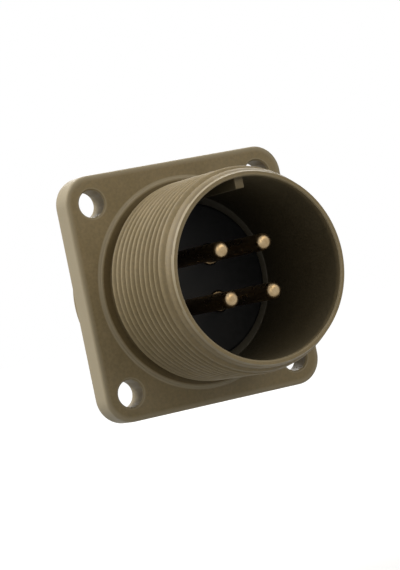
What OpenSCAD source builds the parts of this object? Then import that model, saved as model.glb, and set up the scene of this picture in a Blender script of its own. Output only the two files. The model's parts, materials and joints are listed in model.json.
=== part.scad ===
// Box-mount circular connector receptacle with four pin contacts.
// The mouth faces -Y and the master key stands at +Z. The origin is on the connector's axis,
// in the plane of the flange's back face, which is the face that seats on the panel.

/* [Barrel] */
// Diameter over the crests of the coupling thread, 1 1/8 inch
thread_d = 28.575; // [25.4:0.005:34.925]
// Radial depth of the coupling thread, which sets the relief at the barrel's foot
thread_depth = 0.87; // [0.5:0.01:0.95]
// Length of the tapered lead-in from the thread's crests to the mouth
lead_in_l = 2.7; // [1:0.1:4]
// How far below the thread's root the lead-in ends
lead_in_drop = 0.22; // [0:0.02:0.3]
// Wall between the thread's root and the bore
barrel_wall = 0.82; // [0.6:0.01:1.2]
// Distance from the flange's front face to the mouth
barrel_l = 19.05; // [17:0.05:26]
// How far the boss at the barrel's foot stands out past the thread
boss_step = 0.7; // [0.5:0.02:1]
// Height of the boss above the flange
boss_h = 0.4; // [0.3:0.05:1]
// Rounding of the boss's rim
boss_edge_r = 0.2; // [0.1:0.05:0.3]
// Width of the thread relief above the boss
relief_w = 1.6; // [0.8:0.05:2]
// Chamfer at the mouth of the bore
mouth_chamfer = 0.15; // [0.05:0.05:0.2]

/* [Master key] */
// Width of the key rib in the bore
key_w = 1.3; // [1:0.05:2.4]
// Height of the key rib above the bore wall
key_h = 1.5; // [1:0.05:1.8]
// Distance from the mouth to the front of the key rib
key_setback = 1.1; // [0.5:0.1:4]

/* [Flange] */
// Thickness of the flange
flange_t = 3.6; // [3:0.1:5]
// Distance from the thread to the flange's edge at the middle of a side
flange_margin = 3.18; // [2.8:0.02:6]
// Radius of the flange's corners
flange_corner_r = 3.9; // [2.5:0.1:5]
// Rounding of the flange's outer edges
flange_edge_r = 0.4; // [0.2:0.05:0.8]
// Distance from a mounting hole's centre to the flange's edges
hole_inset = 3.98; // [3.6:0.02:4.2]
// Diameter of the mounting holes
hole_d = 3.9; // [3:0.05:4.3]
// Width of the chamfer round each mounting hole
hole_chamfer = 0.2; // [0.1:0.05:0.3]

/* [Shell, rear] */
// How far the inner lip reaches in from the bore's wall
lip_reach = 1.2; // [0.8:0.05:1.5]
// Thickness of the inner lip
lip_t = 1.4; // [1:0.1:2]
// Depth of the bore's floor below the flange's front face
floor_depth = 1.3; // [0.8:0.1:1.6]
// Width of the seat for the front insert behind the lip
seat_w = 0.6; // [0.4:0.05:0.8]
// Wall of the rear skirt
skirt_wall = 1.1; // [0.9:0.05:1.6]
// Length of the rear skirt behind the flange
skirt_l = 9.5; // [9:0.1:14]
// Chamfer round the skirt's end
skirt_chamfer = 0.3; // [0.1:0.05:0.4]
// Width of the rib that keeps the inserts from turning
rib_w = 2.4; // [1.5:0.1:4]

/* [Inserts] */
// Depth of the front insert's face below the flange's front face
face_depth = 0.35; // [0:0.05:0.6]
// Thickness of the front insert's shoulder
shoulder_t = 4.2; // [3:0.1:5]
// Depth of the rear insert's face inside the skirt's end
back_depth = 0.3; // [0:0.1:1]
// Clearance between the inserts and the shell
insert_gap = 0.1; // [0.05:0.01:0.2]
// Chamfer on the edges of the insert faces
insert_chamfer = 0.25; // [0.1:0.05:0.4]

/* [Contacts] */
// Diameter of the pins, contact size 12
pin_d = 2.39; // [2:0.01:2.6]
// Distance between neighbouring pins, which stand on a square
pin_spacing = 6.85; // [6.4:0.05:7.4]
// Height of the pin tips above the flange's front face
pin_reach = 15.9; // [12:0.1:17.5]
// Radius of the rounding round each pin's tip
tip_r = 0.85; // [0.4:0.05:0.95]
// Diameter of the thicker shank inside the front insert
shank_d = 2.9; // [2.7:0.05:3.2]
// Diameter of the collar that is trapped between the inserts
collar_d = 4.2; // [3.8:0.05:4.6]
// Thickness of the collar
collar_t = 1.2; // [0.8:0.1:1.5]
// Clearance of a contact in its insert
contact_gap = 0.05; // [0.02:0.01:0.1]
// Outer diameter of the solder cups
cup_d = 3.4; // [3.2:0.05:3.5]
// Bore of the solder cups
cup_bore_d = 2.54; // [2.2:0.01:2.7]
// Length of the solder cups behind the rear insert
cup_l = 6.3; // [5.5:0.1:8]
// Length of the slant-cut window in each solder cup
window_l = 3.2; // [2.5:0.1:4]

/* [Retaining ring] */
// Thickness of the ring
ring_t = 1; // [0.8:0.05:1.2]
// Radial width of the ring
ring_w = 1.6; // [1.2:0.1:2]
// Depth of the ring's groove in the skirt's wall
groove_depth = 0.45; // [0.3:0.05:0.5]
// Wall left between the groove and the skirt's end
groove_land = 1; // [0.8:0.1:1.5]
// Width of the split in the ring
ring_split = 5; // [2:0.1:8]

/* [Hidden] */
$fn = 96;

OLIVE = "#7c7059";
BLACK = "#17181c";
GOLD = "#c8a866";
STEEL = "#8d9094";

// Overshoot of cuts, and the gap left between pieces that are stacked along the axis.
EPS = 0.01;
STACK = 0.02;

// Heights along the axis, from the flange's back face towards the mouth.
z_front = flange_t;
z_boss = z_front + boss_h;
z_thread = z_boss + relief_w;
z_mouth = z_front + barrel_l;
z_key = z_mouth - key_setback;
z_face = z_front - face_depth;
z_floor = z_front - floor_depth;
z_seat = z_floor - lip_t;
z_parting = z_seat - STACK - shoulder_t;
z_collar = z_parting - STACK - collar_t;
z_skirt = -skirt_l;
z_groove = z_skirt + groove_land;
groove_w = ring_t + 2 * STACK;
z_step = z_groove + groove_w;
z_back = z_skirt + back_depth;
z_cup = z_back - cup_l;
z_tip = z_front + pin_reach;

// Radii and sides, all worked outward or inward from the thread.
thread_r = thread_d / 2;
root_r = thread_r - thread_depth;
boss_r = thread_r + boss_step;
flange_w = thread_d + 2 * flange_margin;
hole_spacing = flange_w - 2 * hole_inset;
bore_r = root_r - barrel_wall;
key_r = bore_r - key_h;
lip_r = bore_r - lip_reach;
rear_bore_r = lip_r + seat_w;
skirt_r = rear_bore_r + skirt_wall;
ring_out_r = rear_bore_r + groove_depth - insert_gap;
ring_in_r = ring_out_r - ring_w;
shoulder_r = rear_bore_r - insert_gap;
face_r = lip_r - insert_gap;
back_r = ring_in_r - 2 * insert_gap;
pin_r = pin_d / 2;
shank_r = shank_d / 2;
collar_r = collar_d / 2;
cup_r = cup_d / 2;
cup_bore_r = cup_bore_d / 2;

// Small forms that follow the sizes above.
thread_run_in = 0.2;
cup_floor_t = 0.6;
cup_chamfer = 0.2;
window_floor = 0.3;

// A reach past every wall, for cuts that run right out.
past_walls = flange_w;

// Turns what is drawn along +Z to face the mouth, with its +Y side up.
module along_axis() {
    rotate([90, 0, 0]) children();
}

// Turned solid with the given radius between two heights, chamfered at the ends.
module turned_disc(r, z_low, z_high, chamfer_low = 0, chamfer_high = 0) {
    rotate_extrude() polygon([
        [0, z_low], [r - chamfer_low, z_low], [r, z_low + chamfer_low],
        [r, z_high - chamfer_high], [r - chamfer_high, z_high], [0, z_high]
    ]);
}

// Upright strip at the key's side of the axis, from one radius out to another.
module key_strip(w, r_in, r_out, z_low, z_high) {
    translate([-w / 2, r_in, z_low]) cube([w, r_out - r_in, z_high - z_low]);
}

// One contact's place, counted clockwise from the upper left as seen from the mouth.
module at_contact(i) {
    side = [[-1, 1], [1, 1], [1, -1], [-1, -1]][i];
    translate([side[0] * pin_spacing / 2, side[1] * pin_spacing / 2, 0]) children();
}

module at_contacts() {
    for (i = [0 : 3]) at_contact(i) children();
}

module at_holes() {
    for (x = [-1, 1], y = [-1, 1])
        translate([x * hole_spacing / 2, y * hole_spacing / 2, 0]) children();
}

// ---- Shell ----

// Section through the flange, from its middle out to one rounded edge.
module edge_section(reach) {
    square([reach - flange_edge_r, flange_t]);
    translate([0, flange_edge_r]) square([reach, flange_t - 2 * flange_edge_r]);
    for (z = [flange_edge_r, flange_t - flange_edge_r])
        translate([reach - flange_edge_r, z]) circle(flange_edge_r);
}

// Slab across the flange between its corners, with two rounded edges.
module flange_bar() {
    bar_l = flange_w - 2 * flange_corner_r;
    rotate([90, 0, 0]) translate([0, 0, -bar_l / 2]) linear_extrude(bar_l)
        for (m = [0, 1]) mirror([m, 0]) edge_section(flange_w / 2);
}

module flange() {
    corner = flange_w / 2 - flange_corner_r;
    flange_bar();
    rotate([0, 0, 90]) flange_bar();
    for (x = [-1, 1], y = [-1, 1])
        translate([x * corner, y * corner, 0]) rotate_extrude() edge_section(flange_corner_r);
}

module mounting_hole() {
    translate([0, 0, -EPS]) cylinder(d = hole_d, h = flange_t + 2 * EPS);
    translate([0, 0, z_front - hole_chamfer])
        cylinder(d1 = hole_d, d2 = hole_d + 2 * (hole_chamfer + EPS), h = hole_chamfer + EPS);
}

// Low boss round the barrel's foot, with a rounded rim.
module boss() {
    rotate_extrude() {
        square([boss_r, z_boss - boss_edge_r]);
        square([boss_r - boss_edge_r, z_boss]);
        translate([boss_r - boss_edge_r, z_boss - boss_edge_r]) circle(boss_edge_r);
    }
}

// Barrel over the thread's crests: relief at the foot, tapered lead-in at the mouth.
module barrel() {
    rotate_extrude() polygon([
        [0, 0], [root_r, 0], [root_r, z_thread - thread_run_in], [thread_r, z_thread],
        [thread_r, z_mouth - lead_in_l], [root_r - lead_in_drop, z_mouth], [0, z_mouth]
    ]);
}

// Everything that is bored out: front bore, lip opening, rear bore and the ring's groove.
module bores() {
    groove_r = rear_bore_r + groove_depth;
    rotate_extrude() polygon([
        [0, z_skirt - EPS], [rear_bore_r, z_skirt - EPS], [rear_bore_r, z_groove],
        [groove_r, z_groove], [groove_r, z_step], [rear_bore_r, z_step],
        [rear_bore_r, z_seat], [lip_r, z_seat], [lip_r, z_floor], [bore_r, z_floor],
        [bore_r, z_mouth - mouth_chamfer], [bore_r + mouth_chamfer + EPS, z_mouth + EPS],
        [0, z_mouth + EPS]
    ]);
}

// Master key in the front bore. Its foot runs into the wall and the floor.
module master_key() {
    key_strip(key_w, key_r, (bore_r + root_r) / 2, z_floor - EPS, z_key);
}

// Rib in the rear bore that keeps the inserts from turning. It ends short of the ring's groove.
module insert_rib() {
    key_strip(rib_w, lip_r, (rear_bore_r + skirt_r) / 2, z_step + 2 * insert_gap, z_seat + EPS);
}

module shell() {
    color(OLIVE) along_axis() {
        difference() {
            union() {
                flange();
                boss();
                barrel();
                turned_disc(skirt_r, z_skirt, z_front, chamfer_low = skirt_chamfer);
            }
            bores();
            at_holes() mounting_hole();
        }
        master_key();
        insert_rib();
    }
}

// ---- Inserts ----

// Slot in an insert's side for the rib in the rear bore.
module rib_slot(z_low, z_high) {
    key_strip(rib_w + 2 * insert_gap, lip_r - insert_gap, past_walls, z_low, z_high);
}

module front_insert() {
    color(BLACK) along_axis() difference() {
        union() {
            turned_disc(shoulder_r, z_parting, z_seat - STACK);
            turned_disc(face_r, z_parting, z_face, chamfer_high = insert_chamfer);
        }
        rib_slot(z_parting - EPS, z_seat);
        // Keyway that lets the insert's boss come up past the master key.
        key_strip(key_w + 2 * insert_gap, key_r - insert_gap, past_walls, z_seat, z_face + EPS);
        at_contacts() translate([0, 0, z_parting - EPS])
            cylinder(r = shank_r + contact_gap, h = z_face - z_parting + 2 * EPS);
    }
}

module rear_insert() {
    color(BLACK) along_axis() difference() {
        union() {
            turned_disc(shoulder_r, z_step, z_parting - STACK);
            turned_disc(back_r, z_back, z_parting - STACK, chamfer_low = insert_chamfer);
        }
        rib_slot(z_step - EPS, z_parting);
        at_contacts() {
            translate([0, 0, z_collar - STACK])
                cylinder(r = collar_r + contact_gap, h = collar_t + 3 * STACK);
            translate([0, 0, z_back - EPS])
                cylinder(r = cup_r + contact_gap, h = z_parting - z_back);
        }
    }
}

// ---- Contacts ----

// Pin with a rounded tip, on the thicker shank that ends flush with the front insert.
module pin() {
    rotate_extrude() {
        translate([0, z_collar]) square([pin_r, z_tip - tip_r - z_collar]);
        translate([0, z_collar]) square([shank_r, z_face - z_collar]);
        translate([0, z_tip - tip_r - EPS]) square([pin_r - tip_r, tip_r + EPS]);
        intersection() {
            translate([pin_r - tip_r, z_tip - tip_r]) circle(tip_r);
            translate([0, z_tip - tip_r - EPS]) square([pin_r, tip_r + EPS]);
        }
    }
}

// Cut that opens a solder cup's upper side, slanting out to the full round at its inner end.
module cup_window() {
    reach = cup_r + 1;
    rotate([0, -90, 0]) translate([0, 0, -reach]) linear_extrude(2 * reach) polygon([
        [z_cup - 1, window_floor], [z_cup + window_l - cup_r, window_floor],
        [z_cup + window_l, reach], [z_cup - 1, reach]
    ]);
}

module contact() {
    difference() {
        union() {
            pin();
            turned_disc(collar_r, z_collar, z_collar + collar_t);
            turned_disc(cup_r, z_cup, z_collar + EPS, chamfer_low = cup_chamfer);
        }
        translate([0, 0, z_cup - EPS]) cylinder(r = cup_bore_r, h = cup_l - cup_floor_t + EPS);
        cup_window();
    }
}

module placed_contact(i) {
    color(GOLD) along_axis() at_contact(i) contact();
}

module contact_pin_a() { placed_contact(0); }
module contact_pin_b() { placed_contact(1); }
module contact_pin_c() { placed_contact(2); }
module contact_pin_d() { placed_contact(3); }

// ---- Retaining ring ----

// Split ring in the skirt's groove, with its gap over the rib.
module retaining_ring() {
    z_ring = z_groove + STACK;
    color(STEEL) along_axis() difference() {
        turned_disc(ring_out_r, z_ring, z_ring + ring_t);
        translate([0, 0, z_ring - EPS]) cylinder(r = ring_in_r, h = ring_t + 2 * EPS);
        key_strip(ring_split, 0, past_walls, z_ring - EPS, z_ring + ring_t + EPS);
    }
}

shell();
front_insert();
rear_insert();
contact_pin_a();
contact_pin_b();
contact_pin_c();
contact_pin_d();
retaining_ring();
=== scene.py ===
"""Box-mount circular connector receptacle: square-flanged shell with a threaded
barrel, two black inserts, four gold-plated pins and a retaining ring, dressed
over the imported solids. Forms are worked out in millimetres as (x, y, height),
where height runs along the axis from the flange's back face to the mouth."""

import json
import math

import bmesh
import bpy
import numpy as np
from mathutils import Matrix, Vector


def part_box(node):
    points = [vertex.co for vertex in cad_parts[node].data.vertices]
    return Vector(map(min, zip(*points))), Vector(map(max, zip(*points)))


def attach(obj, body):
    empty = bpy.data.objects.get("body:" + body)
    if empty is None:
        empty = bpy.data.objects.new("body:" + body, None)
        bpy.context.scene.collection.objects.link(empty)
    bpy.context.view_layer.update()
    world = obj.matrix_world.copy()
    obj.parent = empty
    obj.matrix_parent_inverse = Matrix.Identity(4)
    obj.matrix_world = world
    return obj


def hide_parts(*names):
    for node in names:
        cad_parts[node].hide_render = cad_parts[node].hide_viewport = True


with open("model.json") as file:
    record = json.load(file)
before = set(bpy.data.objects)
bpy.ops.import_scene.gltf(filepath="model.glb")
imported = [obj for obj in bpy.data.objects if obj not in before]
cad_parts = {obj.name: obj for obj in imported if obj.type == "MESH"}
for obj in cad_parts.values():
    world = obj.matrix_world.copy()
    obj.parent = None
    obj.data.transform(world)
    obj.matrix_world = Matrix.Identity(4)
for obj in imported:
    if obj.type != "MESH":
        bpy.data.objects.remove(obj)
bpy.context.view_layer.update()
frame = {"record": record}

# ---- Sizes, in millimetres ----

MM = 0.001
TURN = 2 * math.pi
QUARTER = math.pi / 2

mounts = {m["name"]: m for m in frame["record"]["mounts"]}


def size(mount, key):
    return mounts[mount]["dims"][key]


def heights(node):
    """(lowest, highest) of a node along the axis, and its widest radius."""
    low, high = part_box(node)
    return -high.y / MM, -low.y / MM, high.x / MM


skirt_end, mouth, half_flange = heights("shell")
flange_t = -mounts["flange_front"]["pos_m"][1] / MM
crest_r = size("coupling_barrel", "r_mm")
skirt_r = size("rear_skirt", "r_mm")
hole_r = size("flange_holes", "hole_r_mm")
hole_place = size("flange_holes", "spacing_x_mm") / 2

# Unified thread of 18 turns to the inch, and the turned steps at its foot and mouth.
thread_pitch = 25.4 / 18
thread_depth = 0.87
trace_cut = 0.05  # depth of the trace that runs on down the mouth's taper
trace_fade = 0.5  # distance from the mouth over which the trace dies out
root_r = crest_r - thread_depth
crest_flat, root_flat = 1 / 8, 1 / 6  # shares of the pitch, which leave 60 degree flanks
flank_softness = 0.4  # 0 for straight flanks, 1 for a smooth wave
boss_r = crest_r + 0.7
boss_top = flange_t + 0.4
thread_low = boss_top + 1.4
run_in_slope = 4.0  # how fast the thread rises from its foot
mouth_r = root_r - 0.22
lead_in_l = 2.7  # length of the taper from the crests down to the mouth
# The rubbed rims' lighter worn tint is partly a painted highlight.
rubbed_highlit_rim = 0.45  # width of the mouth's rim, and of the boss's, that handling rubs
bore_r = root_r - 0.82
mouth_chamfer = 0.15

# Flange: rounded corners and edges, chamfered holes.
corner_r = 3.9
edge_r = 0.4
hole_chamfer = 0.2
foot_fillet = 0.25
flat_start = foot_fillet + 0.1  # where the flange's flat begins beside a turned foot

# Front bore: floor, lip and seat. Master key up the wall.
floor_h = flange_t - 1.3
lip_r = bore_r - 1.2
seat_h = floor_h - 1.4
key_top = mouth - 1.1
key_half = 0.65
key_level = bore_r - 1.5

# Rear bore with its rib and the ring's groove.
rear_r = lip_r + 0.6
rib_half = 1.2
groove_r = rear_r + 0.45
groove_low = skirt_end + 1.0
groove_high = groove_low + 1.04
skirt_chamfer = 0.3

# Inserts and contacts.
front_low, face_h, shoulder_r = heights("front_insert")
back_h, rear_high, _ = heights("rear_insert")
face_r = lip_r - 0.1
back_r = rear_r + 0.45 - 0.1 - 1.6 - 0.2
pin_r = size("pin_a", "r_mm")
cup_bore_r = size("solder_cup_a", "r_mm")
cup_depth = size("solder_cup_a", "length_mm")
pin_place = abs(mounts["pin_a"]["pos_m"][0]) / MM
cup_end, tip_h, _ = heights("contact_pin_b")
ring_low, ring_high, ring_out_r = heights("retaining_ring")
ring_in_r = ring_out_r - 1.6
ring_split = 5.0

# ---- Sheets of points ----


def sheet(x, y, h, edge=0.0, closed=True):
    """Grid of points, rows by columns. A closed sheet's last column joins its first.
    Edge is 1 on a worn outer corner, -1 in an inner corner, which gets painted shade, and 0 on a
    plain face."""
    x, y, h, edge = np.broadcast_arrays(*(np.asarray(v, float) for v in (x, y, h, edge)))
    return np.stack([x, y, h, edge], -1), closed


def turned(profile, angles, closed=True):
    """Rows of (radius, height, edge) carried round the axis at the given angles."""
    r, h, edge = np.asarray(profile, float).T[..., None]
    return sheet(r * np.cos(angles), r * np.sin(angles), h, edge, closed)


def rounded(corners, steps=4, support=0.18):
    """Profile of (radius, height, edge) rows through (radius, height, rounding) corners.
    Each rounding is an arc tangent to both sides, and a plain row stands just
    before and after it, so that shading and the edge tint (wear on an outer corner, painted
    shade in an inner one) stay at the corner."""
    rows = [(corners[0][0], corners[0][1], 0.0)]
    for before, (r, h, bend), after in zip(corners, corners[1:], corners[2:]):
        here = np.array([r, h])
        into = here - before[:2]
        out = np.array(after[:2]) - here
        spare = min(np.hypot(*into), np.hypot(*out)) / 2
        into, out = into / np.hypot(*into), out / np.hypot(*out)
        side = np.sign(into[0] * out[1] - into[1] * out[0]) or 1.0
        angle = math.acos(np.clip(into @ out, -1, 1))
        reach = bend * math.tan(angle / 2)
        if bend == 0:
            rows.append((r, h, 0.0))
            continue
        centre = here - into * reach + side * bend * np.array([-into[1], into[0]])
        turn = side * angle * np.linspace(0, 1, steps + 1)
        arm = here - into * reach - centre
        arc = centre + np.stack([arm[0] * np.cos(turn) - arm[1] * np.sin(turn),
                                 arm[0] * np.sin(turn) + arm[1] * np.cos(turn)], 1)
        if spare > reach + support:
            rows.append((*(here - into * (reach + support)), 0.0))
        rows += [(*p, side) for p in arc]
        if spare > reach + support:
            rows.append((*(here + out * (reach + support)), 0.0))
    rows.append((corners[-1][0], corners[-1][1], 0.0))
    return np.array(rows)


def columns(count, reference_r, strips):
    """Angles of a turned piece's columns: even ones, and close ones beside the
    edges of the strips (half widths) that stand at the top of its bore."""
    near = [0.0]
    for half in strips:
        near += [half * 0.4, half - 0.13, half - 0.09, half - 0.05, half - 0.02,
                 half - 0.01, half + 0.01, half + 0.02, half + 0.04, half + 0.07, half + 0.11]
    near = np.array(sorted(near))
    across = np.concatenate([-near[:0:-1], near])
    top = QUARTER - np.arcsin(across[::-1] / reference_r)
    even = np.arange(count) * TURN / count
    keep = np.abs(even - QUARTER) > (top[-1] - QUARTER) + 0.4 * TURN / count
    return np.sort(np.concatenate([even[keep], top]))


def with_strip(profile, angles, reference_r, half, level, share=1.0):
    """Turned rows with a flat-topped strip at the top of the circle. Within the
    strip's half width, a point lies on the flat at its level, with a rounded edge;
    outside, on the circle, with a small fillet. Share fades the strip out, and a row
    with no share is a plain turned row, which the next sheet can join."""
    r, h, edge = np.asarray(profile, float).T[..., None]
    share = np.broadcast_to(np.asarray(share, float).reshape(-1, 1), r.shape)
    across = reference_r * np.cos(angles)
    near = (np.sin(angles) > 0) & (np.abs(across) < half + 0.2)
    placed = near & (share > 0)
    x = np.where(placed, across, r * np.cos(angles))
    circle = np.where(placed, np.sqrt(np.maximum(r ** 2 - across ** 2, 0)), r * np.sin(angles))
    bend, fillet, draft = 0.12, 0.1, 0.01
    inward = np.clip(np.abs(across) - (half - draft - bend), 0, bend)
    flat = level + bend - np.sqrt(bend ** 2 - inward ** 2)
    outward = np.clip(half + draft + fillet - np.abs(across), 0, fillet)
    foot = circle - fillet + np.sqrt(fillet ** 2 - outward ** 2)
    target = np.where(np.abs(across) <= half, flat, foot)
    lift = share * np.maximum(circle - target, 0) * near
    worn = np.clip(1 - np.abs(np.abs(across) - half + 0.05) / 0.06, 0, 1) * share * near
    return sheet(x, circle - lift, h, np.maximum(edge, worn))


def quarter_turned(made, count):
    """The same sheet, turned about the axis by that many quarters."""
    grid, closed = made
    c, s = round(math.cos(count * QUARTER)), round(math.sin(count * QUARTER))
    x, y = grid[..., 0] * c - grid[..., 1] * s, grid[..., 0] * s + grid[..., 1] * c
    return np.stack([x, y, grid[..., 2], grid[..., 3]], -1), closed


def near_axis(angles, count, reach):
    """Columns within reach of the axis that lies that many quarters round, seen from it."""
    seen = (angles - count * QUARTER + math.pi) % TURN - math.pi
    return np.sort(seen[np.abs(seen) < reach + 1e-6])


def holed_patch(upper_loop, lower_loop, centre, hole, shares=(1, 0.75, 0.5, 0.28, 0.1, 0)):
    """A hole's surroundings on both faces and its wall, in one sheet. Each column leaves
    a point of the upper loop, runs straight to the hole on that point's own bearing,
    follows the hole's (radius, height, edge) profile and ends on the lower loop."""
    arm = upper_loop - centre
    bearing = arm / np.hypot(*arm.T)[:, None]
    rows = [(centre + bearing * hole[0][0]) * (1 - s) + upper_loop * s for s in shares]
    rows += [centre + bearing * r for r, _, _ in hole[1:-1]]
    rows += [(centre + bearing * hole[-1][0]) * (1 - s) + lower_loop * s for s in shares[::-1]]
    flat = np.zeros(len(shares))
    h = np.concatenate([flat + hole[0][1], hole[1:-1, 1], flat + hole[-1][1]])
    edge = np.concatenate([flat, hole[1:-1, 2], flat])
    grid = np.array(rows)
    return sheet(grid[..., 0], grid[..., 1], h[:, None], edge[:, None])


# ---- Meshes ----


def piece(name, sheets, material, nodes, tints=None):
    """One closed mesh from sheets that meet at shared points. Tints are named
    per-point numbers, each worked out from (radius, height) by its own function."""
    points, faces, start = [], [], 0
    for grid, closed in sheets:
        rows, cols = grid.shape[:2]
        index = start + np.arange(rows * cols).reshape(rows, cols)
        if closed:
            index = np.concatenate([index, index[:, :1]], 1)
        faces.append(np.stack([index[:-1, :-1], index[:-1, 1:],
                               index[1:, 1:], index[1:, :-1]], -1).reshape(-1, 4))
        points.append(grid.reshape(-1, 4))
        start += rows * cols
    points, faces = np.concatenate(points), np.concatenate(faces)
    x, y, h, edge = points.T
    mesh = bpy.data.meshes.new(name)
    mesh.from_pydata((np.stack([x, -h, y], 1) * MM).tolist(), [], faces.tolist())
    values = {"edge": edge}
    values.update((key, shade(np.hypot(x, y), h)) for key, shade in (tints or {}).items())
    for key, value in values.items():
        layer = mesh.attributes.new(key, "FLOAT", "POINT")
        layer.data.foreach_set("value", value.astype(np.float32))
    joined = bmesh.new()
    joined.from_mesh(mesh)
    bmesh.ops.remove_doubles(joined, verts=joined.verts, dist=0.0005 * MM)
    joined.to_mesh(mesh)
    joined.free()
    mesh.polygons.foreach_set("use_smooth", np.ones(len(mesh.polygons), bool))
    mesh.set_sharp_from_angle(angle=math.radians(52))
    mesh.materials.append(material)
    made = bpy.data.objects.new(name, mesh)
    bpy.context.scene.collection.objects.link(made)
    shading = made.modifiers.new("face shading", "WEIGHTED_NORMAL")
    shading.keep_sharp = True
    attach(made, "root")
    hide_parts(*nodes)
    return made


# ---- Materials ----


def srgb(code):
    """Linear colour of an sRGB hex code."""
    levels = [int(code[i:i + 2], 16) / 255 for i in (0, 2, 4)]
    return (*(v / 12.92 if v <= 0.04045 else ((v + 0.055) / 1.055) ** 2.4 for v in levels), 1.0)


def add(tree, kind, inputs=None, output=0, **settings):
    """Adds a node with its settings, and gives its output of that number or name. An
    input is a number, a colour or another node's output."""
    made = tree.nodes.new("ShaderNode" + kind)
    for key, value in settings.items():
        setattr(made, key, value)
    for key, value in (inputs or {}).items():
        if isinstance(value, bpy.types.NodeSocket):
            tree.links.new(value, made.inputs[key])
        else:
            made.inputs[key].default_value = value
    return made.outputs[output] if made.outputs else None


def apart(millimetres):
    """Scale of a pattern whose features are about this far apart."""
    return 1 / (millimetres * MM)


def material_of(name, surface_inputs, build):
    """A material with one principled surface. Build gets the node tree and the object's
    coordinates, and returns the surface's linked inputs."""
    made = bpy.data.materials.new(name)
    made.use_nodes = True
    tree = made.node_tree
    tree.nodes.clear()
    place = add(tree, "TexCoord", output="Object")
    surface = add(tree, "BsdfPrincipled", {**surface_inputs, **build(tree, place)})
    add(tree, "OutputMaterial", {"Surface": surface})
    return made


def olive_chromate(tree, place):
    """Olive drab chromate over a plated die casting: dull, dry and slightly granular,
    browner where it took thickly and greyer on worn corners. Painted shade darkens its
    inner corners, the relief behind the boss, the mouth's taper and the bore, and on the
    rims of the boss and mouth the lighter worn tint is partly a painted highlight."""
    edge = add(tree, "Attribute", output="Fac", attribute_name="edge")
    bore = add(tree, "Attribute", output="Fac", attribute_name="bore")
    bath = add(tree, "TexNoise", {"Vector": place, "Scale": apart(5.0), "Detail": 3.0})
    bath = add(tree, "MapRange", {"Value": bath, "From Min": 0.35, "From Max": 0.65})
    cast = add(tree, "TexNoise", {"Vector": place, "Scale": apart(0.5), "Detail": 3.0,
                                  "Roughness": 0.6})
    grit = add(tree, "TexNoise", {"Vector": place, "Scale": apart(0.22), "Detail": 2.0})
    grain = add(tree, "MapRange", {"Value": cast, "From Min": 0.35, "From Max": 0.65,
                                   "To Min": 0.9, "To Max": 1.1})
    worn = add(tree, "MapRange", {"Value": edge, "From Min": 0.1, "To Max": 0.7})
    # Painted shade: negative edge values, in inner corners, in the relief behind the boss and on
    # the mouth's taper, darken the tone.
    painted_corner_shade = add(tree, "MapRange", {"Value": edge, "From Min": -1.0, "From Max": -0.1,
                                    "To Min": 1.0, "To Max": 0.0})
    tone = add(tree, "MixRGB", {"Fac": bath, "Color1": srgb("877A5E"), "Color2": srgb("7E7154")})
    tone = add(tree, "MixRGB", {"Fac": 1.0, "Color1": tone, "Color2": grain},
               blend_type="MULTIPLY")
    # Worn corners turn greyer; on the rims of the boss and mouth this lighter tint is partly a
    # painted highlight.
    tone = add(tree, "MixRGB", {"Fac": worn, "Color1": tone, "Color2": srgb("9A917C")})
    tone = add(tree, "MixRGB", {"Fac": painted_corner_shade, "Color1": tone, "Color2": srgb("B8B09A")},
               blend_type="MULTIPLY")
    # Painted shade: the inside of the bore is darkened here.
    tone = add(tree, "MixRGB", {"Fac": bore, "Color1": tone, "Color2": srgb("2E2A1E")})
    return {"Base Color": tone,
            "Normal": add(tree, "Bump", {"Height": grit, "Strength": 0.35,
                                         "Distance": 0.03 * MM}),
            "Roughness": add(tree, "MapRange", {"Value": cast, "From Min": 0.35,
                                                "From Max": 0.65, "To Min": 0.52,
                                                "To Max": 0.68})}


def black_thermoset(tree, place):
    """Mineral-filled thermoset, moulded against polished steel: near black, faintly
    bluish, with a soft semi-gloss and a trace of filler showing as mottling."""
    filler = add(tree, "TexNoise", {"Vector": place, "Scale": apart(0.8), "Detail": 3.0})
    share = add(tree, "MapRange", {"Value": filler, "From Min": 0.35, "From Max": 0.65})
    skin = add(tree, "TexNoise", {"Vector": place, "Scale": apart(0.3)})
    return {"Base Color": add(tree, "MixRGB", {"Fac": share, "Color1": srgb("090A0C"),
                                               "Color2": srgb("0F1012")}),
            "Normal": add(tree, "Bump", {"Height": skin, "Strength": 0.12,
                                         "Distance": 0.02 * MM}),
            "Roughness": add(tree, "MapRange", {"Value": share, "To Min": 0.36,
                                                "To Max": 0.46})}


def gold_plate(tree, place):
    """Thin gold over nickel on turned brass: a pale warm metal, hazed like any plating
    that has been handled, with faint turning rings and duller, browner patches."""
    rings = add(tree, "TexWave", {"Vector": place, "Scale": apart(0.16) / TURN,
                                  "Distortion": 0.6, "Detail": 1.0}, output="Fac",
                wave_type="BANDS", bands_direction="Y")
    haze = add(tree, "TexNoise", {"Vector": place, "Scale": apart(0.9), "Detail": 3.0})
    haze = add(tree, "MapRange", {"Value": haze, "From Min": 0.35, "From Max": 0.65})
    return {"Base Color": add(tree, "MixRGB", {"Fac": haze, "Color1": srgb("A18D6E"),
                                               "Color2": srgb("8E795A")}),
            "Normal": add(tree, "Bump", {"Height": rings, "Strength": 0.12,
                                         "Distance": 0.01 * MM}),
            "Roughness": add(tree, "MapRange", {"Value": haze, "To Min": 0.26,
                                                "To Max": 0.38})}


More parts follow.
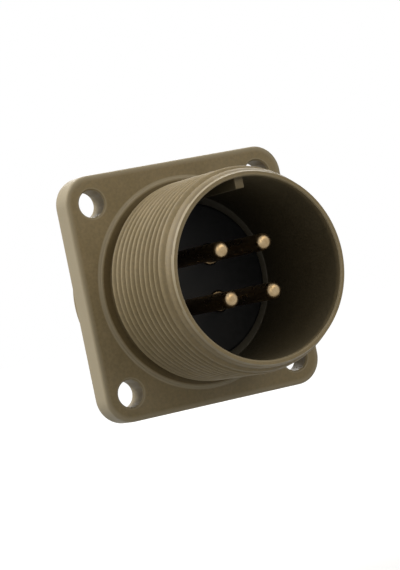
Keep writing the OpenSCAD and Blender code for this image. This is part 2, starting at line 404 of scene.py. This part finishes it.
def phosphated_steel(tree, place):
    """Stamped spring steel, phosphated and oiled: dark grey with a dull, cloudy sheen."""
    clouds = add(tree, "TexNoise", {"Vector": place, "Scale": apart(1.5), "Detail": 4.0})
    share = add(tree, "MapRange", {"Value": clouds, "From Min": 0.35, "From Max": 0.65})
    return {"Base Color": add(tree, "MixRGB", {"Fac": share, "Color1": srgb("85888C"),
                                               "Color2": srgb("6C6F73")}),
            "Roughness": add(tree, "MapRange", {"Value": share, "To Min": 0.34,
                                                "To Max": 0.5})}


finish = material_of("olive_chromate_over_die_casting", {"Specular IOR Level": 0.4},
                     olive_chromate)
thermoset = material_of("moulded_black_thermoset", {"Specular IOR Level": 0.2}, black_thermoset)
gold = material_of("gold_plate_over_turned_brass", {"Metallic": 1.0}, gold_plate)
spring_steel = material_of("phosphated_spring_steel", {"Metallic": 1.0}, phosphated_steel)

# ---- Shell ----

shell_turn = columns(240, bore_r, [key_half, rib_half])
patch_edge = TURN / 16  # a corner patch spans from here to the same angle off the next side
flat_inset = edge_r + 0.5  # the flange's flat ends here, and its rim begins
flat_half, flat_corner = half_flange - flat_inset, corner_r - flat_inset
front_foot, back_foot = boss_r + flat_start, skirt_r + flat_start

rim = rounded([(-flat_inset, 0), (0, 0, edge_r), (0, flange_t, edge_r), (-flat_inset, flange_t)])
rim[:, 0] += flat_inset


def thread(angles):
    """Single-start right-hand screw thread. Along a column the radius follows the
    thread's form between crest and root, and each column starts higher than the last,
    by one pitch in a full turn. Heights stop at both ends of the thread, and the
    radius stays under a steep run-in at the foot and a tapered lead-in at the mouth,
    where the last turns die out to a shallow trace. The taper gets painted shade,
    deepest in the trace's roots, and its rim a lighter worn tint that is partly a
    painted highlight."""
    steps = 11  # rows to a pitch
    count = math.ceil(((mouth - thread_low) / thread_pitch + 1) * steps)
    row = np.arange(count + 1)[:, None]
    around = np.append(angles, angles[0] + TURN)
    h = thread_low + thread_pitch * (row / steps - 1 + (around - angles[0]) / TURN)
    h = np.clip(h, thread_low, mouth)
    share = np.abs(2 * ((row / steps) % 1) - 1)  # 1 on the crest, 0 in the root
    form = np.clip((share - root_flat) / (1 - crest_flat - root_flat), 0, 1)
    form += flank_softness * (form ** 2 * (3 - 2 * form) - form)
    r = crest_r - thread_depth * (1 - form)
    run_in = root_r + (h - thread_low) * run_in_slope
    below_mouth = mouth - h
    lead_in = mouth_r + below_mouth * (crest_r - mouth_r) / lead_in_l
    lead_in -= trace_cut * (1 - form) * np.clip(below_mouth / trace_fade, 0, 1)
    cut = np.minimum(r, np.minimum(run_in, lead_in))
    # Painted shade on the taper, deeper in the roots; on its rim, wear that is partly a painted
    # highlight.
    taper_painted_shade, rim_wear_and_highlight = -0.3 - 0.6 * (1 - form), 0.9  # edge values on the taper and its rim
    edge = np.where(lead_in < r, np.where(below_mouth < rubbed_highlit_rim, rim_wear_and_highlight, taper_painted_shade), 0.0)
    return sheet(cut * np.cos(around), cut * np.sin(around), h, edge, closed=False)


def side_patch(count):
    """One side of the flange: back flat from the skirt, over the rim, front flat to the boss."""
    seen = near_axis(shell_turn, count, patch_edge)
    foot = np.stack([np.cos(seen), np.sin(seen)], 1)
    far = np.stack([np.full_like(seen, flat_half), flat_half * np.tan(seen)], 1)
    shares = np.array([0, 0.5])[:, None, None]
    back = foot * back_foot * (1 - shares) + far * shares
    front = (foot * front_foot * (1 - shares) + far * shares)[::-1]
    over = far + rim[:, :1, None] * np.array([1.0, 0.0])
    grid = np.concatenate([back, over, front])
    h = np.concatenate([np.zeros(2), rim[:, 1], np.full(2, flange_t)])[:, None]
    edge = np.concatenate([np.zeros(2), rim[:, 2], np.zeros(2)])[:, None]
    return quarter_turned(sheet(grid[..., 0], grid[..., 1], h, edge, closed=False), count)


def corner_line():
    """Points and outward directions round one corner of the flange's flat."""
    start, bend = flat_half * math.tan(patch_edge), flat_half - flat_corner
    rise = np.linspace(start, bend, 12)[:-1]
    arc = np.linspace(0, QUARTER, 17)
    east = np.stack([np.full_like(rise, flat_half), rise], 1)
    out = np.stack([np.cos(arc), np.sin(arc)], 1)
    line = np.concatenate([east, bend + flat_corner * out, east[::-1, ::-1]])
    ends = np.full((len(rise), 2), [1.0, 0.0])
    return line, np.concatenate([ends, out, ends[:, ::-1]])


def corner_patches(count):
    """One corner of the flange: its rim, and both flats round the mounting hole."""
    line, out = corner_line()
    band = line + rim[:, :1, None] * out
    over = sheet(band[..., 0], band[..., 1], rim[:, 1:2], rim[:, 2:], closed=False)
    inner = shell_turn[(shell_turn > patch_edge - 1e-6)
                       & (shell_turn < QUARTER - patch_edge + 1e-6)][::-1]

    def loop(foot):
        circle = foot * np.stack([np.cos(inner), np.sin(inner)], 1)
        shares = np.array([0, 0.5])[:, None]
        out_side = circle[-1] * (1 - shares) + line[0] * shares
        back_side = line[-1] * (1 - shares) + circle[0] * shares
        return np.concatenate([out_side, line[:-1], back_side, circle[:-1]])

    hole = rounded([(hole_r + hole_chamfer + 0.2, flange_t),
                    (hole_r + hole_chamfer, flange_t, 0.05),
                    (hole_r, flange_t - hole_chamfer, 0.05),
                    (hole_r, 0, 0.06), (hole_r + 0.2, 0)], support=0.08)
    flats = holed_patch(loop(front_foot), loop(back_foot), np.full(2, hole_place), hole)
    return [quarter_turned(made, count) for made in (over, flats)]


def shell():
    """Turned body from the boss's foot over the thread and rim, down the bores and
    back up the skirt, with the square flange closing it between the two feet."""
    outside = rounded([(front_foot, flange_t), (boss_r, flange_t, foot_fillet),
                       (boss_r, boss_top, 0.2), (boss_r - 0.5, boss_top, 0),
                       (root_r, boss_top, 0.12), (root_r, thread_low - 0.1, 0),
                       (root_r, thread_low)])
    # The boss's rim is rubbed on both sides, and its lighter worn tint is partly a painted
    # highlight; the relief behind it is darkened with painted shade.
    outside[:, 2] = np.where(outside[:, 0] > boss_r - rubbed_highlit_rim, np.abs(outside[:, 2]), -1.0)
    mouth_rim = rounded([(mouth_r, mouth), (mouth_r - 0.01, mouth, 0),
                         (bore_r + mouth_chamfer, mouth, 0.05),
                         (bore_r, mouth - mouth_chamfer, 0.05), (bore_r, key_top + 0.2)],
                        support=0.06)
    wall = rounded([(bore_r, key_top - 0.3), (bore_r, floor_h, 0.2), (lip_r + 0.5, floor_h)])
    lead = [(bore_r, key_top + d, 0) for d in (0.2, 0, 0, -0.04, -0.12)]
    wall = np.concatenate([lead, wall, [(lip_r + 0.3, floor_h, 0)]])
    wall_share = np.array([0, 0, 0.92, 0.98] + [1] * (len(wall) - 5) + [0])
    lip = rounded([(lip_r + 0.3, floor_h), (lip_r, floor_h, 0.08), (lip_r, seat_h, 0.05),
                   (lip_r + 0.1, seat_h)])
    rear = rounded([(lip_r + 0.25, seat_h), (rear_r, seat_h, 0.1), (rear_r, groove_high + 0.2)])
    rear = np.concatenate([[(lip_r + 0.1, seat_h, 0)], rear, [(rear_r, groove_high + 0.15, 0)]])
    rear_share = np.array([0] + [1] * (len(rear) - 2) + [0])
    back = rounded([(rear_r, groove_high + 0.15), (rear_r, groove_high, 0),
                    (groove_r, groove_high, 0), (groove_r, groove_low, 0),
                    (rear_r, groove_low, 0.05), (rear_r, skirt_end, 0.1),
                    (skirt_r - skirt_chamfer, skirt_end, 0.06),
                    (skirt_r, skirt_end + skirt_chamfer, 0.06),
                    (skirt_r, 0, foot_fillet), (back_foot, 0)])
    sheets = [
        turned(outside, shell_turn), thread(shell_turn), turned(mouth_rim, shell_turn),
        with_strip(wall, shell_turn, bore_r, key_half, key_level, wall_share),
        turned(lip, shell_turn),
        with_strip(rear, shell_turn, bore_r, rib_half, lip_r, rear_share),
        turned(back, shell_turn)]
    for count in range(4):
        sheets += [side_patch(count), *corner_patches(count)]
    # Painted shade down the bore: from 0.4 mm inside the mouth the tone darkens over 1.5 mm, on
    # everything within the bore above the seat.
    painted_bore_shade_tints = {"bore": lambda r, h: np.clip((mouth - 0.4 - h) / 1.5, 0, 1)
             * (r < bore_r + 0.02) * (h > seat_h)}
    return piece("connector_shell", sheets, finish, ["shell"], painted_bore_shade_tints)


# ---- Inserts ----

block_edge = TURN / 32  # a contact's patch spans from here to the same angle off the next axis
block_in, block_out = 1.7, 8.6  # radii between which the contacts' patches lie


def moulded_block(name, outer, hole, slot_half, slot_level, node):
    """Turned plastic block with a slot up its side and four contact holes. Outer runs up
    its side and hole runs down a contact's hole, as (radius, height, edge) rows."""
    angles = columns(128, shoulder_r, [slot_half])
    low, high = outer[0][1], outer[-1][1]
    slot_share = np.array([0] + [1] * (len(outer) - 2) + [0])
    side = with_strip(outer, angles, shoulder_r, slot_half, slot_level, slot_share)
    centre = [turned([(r, h, 0) for r in radii], angles)
              for h, radii in ((high, (block_in, block_in / 2, 0)),
                               (low, (0, block_in / 2, block_in)))]
    sheets = [side, *centre]
    inner = angles[(angles > block_edge - 1e-6) & (angles < QUARTER - block_edge + 1e-6)]
    ray = np.stack([np.cos(inner), np.sin(inner)], 1)
    reach = np.linspace(block_in, block_out, 9)[:, None]
    loop = np.concatenate([(ray[0] * reach)[:-1], (ray * block_out)[:-1],
                           (ray[-1] * reach)[:0:-1], (ray * block_in)[:0:-1]])
    flats = holed_patch(loop, loop, np.full(2, pin_place), hole)
    for count in range(4):
        sheets.append(quarter_turned(flats, count))
        seen = near_axis(angles, count, block_edge)
        for h, radii in ((high, reach[::-1, 0]), (low, reach[:, 0])):
            strip = turned([(r, h, 0) for r in radii], seen, closed=False)
            sheets.append(quarter_turned(strip, count))
    return piece(name, sheets, thermoset, [node])


def inserts():
    """Front block with its stepped boss in the lip, and rear block behind it."""
    shank_hole, cup_hole, collar_hole = 1.5, 1.75, 2.15
    collar_h = rear_high - 0.02 - 1.2
    front = rounded([(block_out, front_low), (shoulder_r, front_low, 0.1),
                     (shoulder_r, seat_h - 0.02, 0.1), (face_r, seat_h - 0.02, 0.05),
                     (face_r, face_h, 0.25), (block_out, face_h)])
    rear = rounded([(block_out, back_h), (back_r, back_h, 0.25), (back_r, groove_high, 0.05),
                    (shoulder_r, groove_high, 0.1), (shoulder_r, rear_high, 0.1),
                    (block_out, rear_high)])
    front_hole = rounded([(shank_hole + 0.3, face_h), (shank_hole, face_h, 0.12),
                          (shank_hole, front_low, 0.05), (shank_hole + 0.3, front_low)],
                         support=0.1)
    rear_hole = rounded([(collar_hole + 0.3, rear_high), (collar_hole, rear_high, 0.05),
                         (collar_hole, collar_h, 0), (cup_hole, collar_h, 0.05),
                         (cup_hole, back_h, 0.15), (cup_hole + 0.4, back_h)], support=0.1)
    moulded_block("front_insert_block", front, front_hole, key_half + 0.1, key_level - 0.1,
                  "front_insert")
    moulded_block("rear_insert_block", rear, rear_hole, rib_half + 0.1, lip_r - 0.1,
                  "rear_insert")


# ---- Contacts ----

cup_r, shank_r, collar_r = 1.7, 1.45, 2.1
collar_low = rear_high - 1.2
cup_floor = cup_end + cup_depth
tip_bend = 0.85
window_level = 0.3  # height of the window's sides above the contact's axis
window_l = 3.2
window_slant = cup_end + window_l - cup_r  # where the level sides end and the slant starts
slant_rise = cup_r / (cup_r + 1 - window_level)  # run along the axis for each step up


def contact(name, corner_x, corner_y, node):
    """Turned contact with its solder cup cut open on the upper side. The columns are in
    two groups that meet, but for a hair, where the circle crosses the window's level,
    so a bearing is that crossing's plus a share of the arc above or below it. The
    upper group's heights stop at the window's slant."""
    inside = rounded([(0, cup_floor), (cup_bore_r, cup_floor, 0.15),
                      (cup_bore_r, cup_end + 3.2)])
    steps = np.arange(3.0, 0.9, -0.15)
    inside = np.concatenate([inside, [(cup_bore_r, cup_end + d, 0) for d in steps],
                             [(cup_bore_r, cup_end, 0)]])
    lip = rounded([(cup_bore_r, cup_end), (cup_r, cup_end, 0.15), (cup_r, cup_end + 0.6)])[1:]
    outside = rounded([(cup_r, cup_end + 3.2), (cup_r, collar_low, 0),
                       (collar_r, collar_low, 0.05), (collar_r, collar_low + 1.2, 0.05),
                       (shank_r, collar_low + 1.2, 0), (shank_r, face_h, 0.1),
                       (pin_r, face_h, 0.05), (pin_r, tip_h, tip_bend), (0, tip_h)], steps=8)
    outside = np.concatenate([lip, [(cup_r, cup_end + d, 0) for d in steps[::-1]], outside])
    profile = np.concatenate([inside, outside])
    r, h, edge = profile.T[..., None]
    wall = np.concatenate([np.full(len(inside), cup_bore_r), np.full(len(outside), cup_r)])
    meet = np.arcsin(window_level / wall)[:, None]
    above, below = np.linspace(0.004, 0.996, 25), np.linspace(0, 1, 31)
    angle = np.concatenate([meet + (math.pi - 2 * meet) * above,
                            math.pi - meet + (math.pi + 2 * meet) * below], 1)
    upper = np.arange(angle.shape[1]) < len(above)
    y = r * np.sin(angle)
    slant = window_slant + (y - window_level) * slant_rise
    h = np.where(upper & (h < slant) & (h < cup_floor - 0.5), slant, h)
    return piece(name, [sheet(corner_x + r * np.cos(angle), corner_y + y, h, edge)],
                 gold, [node])


# ---- Retaining ring ----


def retaining_ring():
    """Flat split ring: a rounded oblong section carried round the axis between the two
    sides of the split, each row turned to where its own radius meets the side. Both
    ends are closed by joining the section's outline to its middle."""
    bend = 0.12
    section = rounded([((ring_in_r + ring_out_r) / 2, ring_low), (ring_out_r, ring_low, bend),
                       (ring_out_r, ring_high, bend), (ring_in_r, ring_high, bend),
                       (ring_in_r, ring_low, bend),
                       ((ring_in_r + ring_out_r) / 2, ring_low)])
    r, h, edge = section.T[..., None]
    side = np.arcsin(ring_split / 2 / r)
    angle = QUARTER + side + (TURN - 2 * side) * np.linspace(0, 1, 121)
    band = sheet(r * np.cos(angle), r * np.sin(angle), h, edge, closed=False)
    caps = []
    for end, order in ((0, 1), (-1, -1)):
        outline = band[0][:, end]
        middle = np.broadcast_to(outline[:-1].mean(0) * (1, 1, 1, 0), outline.shape)
        caps.append((np.stack([outline, middle][::order]), False))
    return piece("split_retaining_ring", [band, *caps], spring_steel,
                 ["retaining_ring"])


shell()
inserts()
for letter in "abcd":
    place_x, _, place_y = mounts["pin_" + letter]["pos_m"]
    contact("gold_contact_" + letter, place_x / MM, place_y / MM, "contact_pin_" + letter)
retaining_ring()

# ---- Camera ----

camera_yaw, camera_pitch, camera_roll = 28.52, -0.22, 11.66  # degrees
camera_place = Vector((-0.0198, 0.0136, -11.016)) * (2 * half_flange * MM)  # of the front face

lens = bpy.data.cameras.new("camera")
lens.sensor_width, lens.lens = 36.0, 171.7
camera = bpy.data.objects.new("camera", lens)
bpy.context.scene.collection.objects.link(camera)
facing = (Matrix.Rotation(QUARTER, 4, "X")
          @ Matrix.Rotation(-math.radians(camera_yaw), 4, "Y")
          @ Matrix.Rotation(-math.radians(camera_pitch), 4, "X")
          @ Matrix.Rotation(-math.radians(camera_roll), 4, "Z"))
camera.matrix_world = (Matrix.Translation(Vector((0, -flange_t * MM, 0)) - facing @ camera_place)
                       @ facing)
lens.clip_start, lens.clip_end = 0.01, 20.0
bpy.context.scene.camera = camera

# ---- Floor, backdrop and lamps ----


def to_the_eye(tree):
    """1 for rays from the camera and for reflections and refractions, otherwise 0."""
    seen = add(tree, "Math", {0: add(tree, "LightPath", output="Is Camera Ray"),
                              1: add(tree, "LightPath", output="Is Glossy Ray")},
               operation="MAXIMUM")
    return add(tree, "Math", {0: seen, 1: add(tree, "LightPath",
                                              output="Is Transmission Ray")},
               operation="MAXIMUM")


def backdrop():
    """Even soft room light, seen as white by the eye and in reflections."""
    world = bpy.data.worlds.new("studio")
    bpy.context.scene.world = world
    world.use_nodes = True
    tree = world.node_tree
    tree.nodes.clear()
    room = add(tree, "Background", {"Color": srgb("F4F6FA"), "Strength": 0.12})
    white = add(tree, "Background", {"Color": (1, 1, 1, 1), "Strength": 1.0})
    shown = add(tree, "MixShader", {0: to_the_eye(tree), 1: room, 2: white})
    add(tree, "OutputWorld", {"Surface": shown})


def floor():
    """Pale matt floor under the part. The eye sees it lifted to white, fully so away
    from the part, so that only the part's shadow shows on it."""
    made = bpy.data.materials.new("matt_floor_paper")
    made.use_nodes = True
    tree = made.node_tree
    tree.nodes.clear()
    paper = add(tree, "BsdfDiffuse", {"Color": srgb("858583")})
    away = add(tree, "VectorMath", {0: add(tree, "TexCoord", output="Object")},
               output="Value", operation="LENGTH")
    lift = add(tree, "MapRange", {"Value": away, "From Min": 0.1, "From Max": 0.5,
                                  "To Min": 0.8, "To Max": 1.0})
    dark = add(tree, "Emission", {"Strength": 0.0})
    glow = add(tree, "Emission", {"Strength": lift})
    glow = add(tree, "MixShader", {0: to_the_eye(tree), 1: dark, 2: glow})
    add(tree, "OutputMaterial", {"Surface": add(tree, "AddShader", {0: paper, 1: glow})})
    reach, drop = 3.0, -(half_flange + 28) * MM
    mesh = bpy.data.meshes.new("floor")
    mesh.from_pydata([(-reach, -reach, drop), (reach, -reach, drop),
                      (reach, reach, drop), (-reach, reach, drop)], [], [(0, 1, 2, 3)])
    mesh.materials.append(made)
    ground = bpy.data.objects.new("floor", mesh)
    bpy.context.scene.collection.objects.link(ground)


def lamp(name, bearing, elevation, distance, width, power, colour="FFFFFF"):
    """Square soft lamp aimed at the part. Bearing 0 is in front of the mouth, and a
    negative one is to its left."""
    light = bpy.data.lights.new(name, "AREA")
    light.shape, light.size = "SQUARE", width
    light.energy, light.color = power, srgb(colour)[:3]
    made = bpy.data.objects.new(name, light)
    bpy.context.scene.collection.objects.link(made)
    a, e = math.radians(bearing), math.radians(elevation)
    away = Vector((math.sin(a) * math.cos(e), -math.cos(a) * math.cos(e), math.sin(e)))
    made.matrix_world = (Matrix.Translation(away * distance)
                         @ away.to_track_quat("Z", "Y").to_matrix().to_4x4())
    return made


backdrop()
floor()
lamp("key", -112, 42, 0.6, 0.35, 3.7, "FFFAF2")
lamp("top", -85, 70, 0.6, 0.35, 1.0)
lamp("front", 20, 28, 0.6, 0.35, 0.95, "FFF3DC")
lamp("front left", -25, 15, 0.6, 0.35, 0.6, "FFF3DC")
lamp("rear fill", 150, 30, 0.7, 0.5, 2.5)

scene = bpy.context.scene
scene.view_settings.view_transform = "Standard"
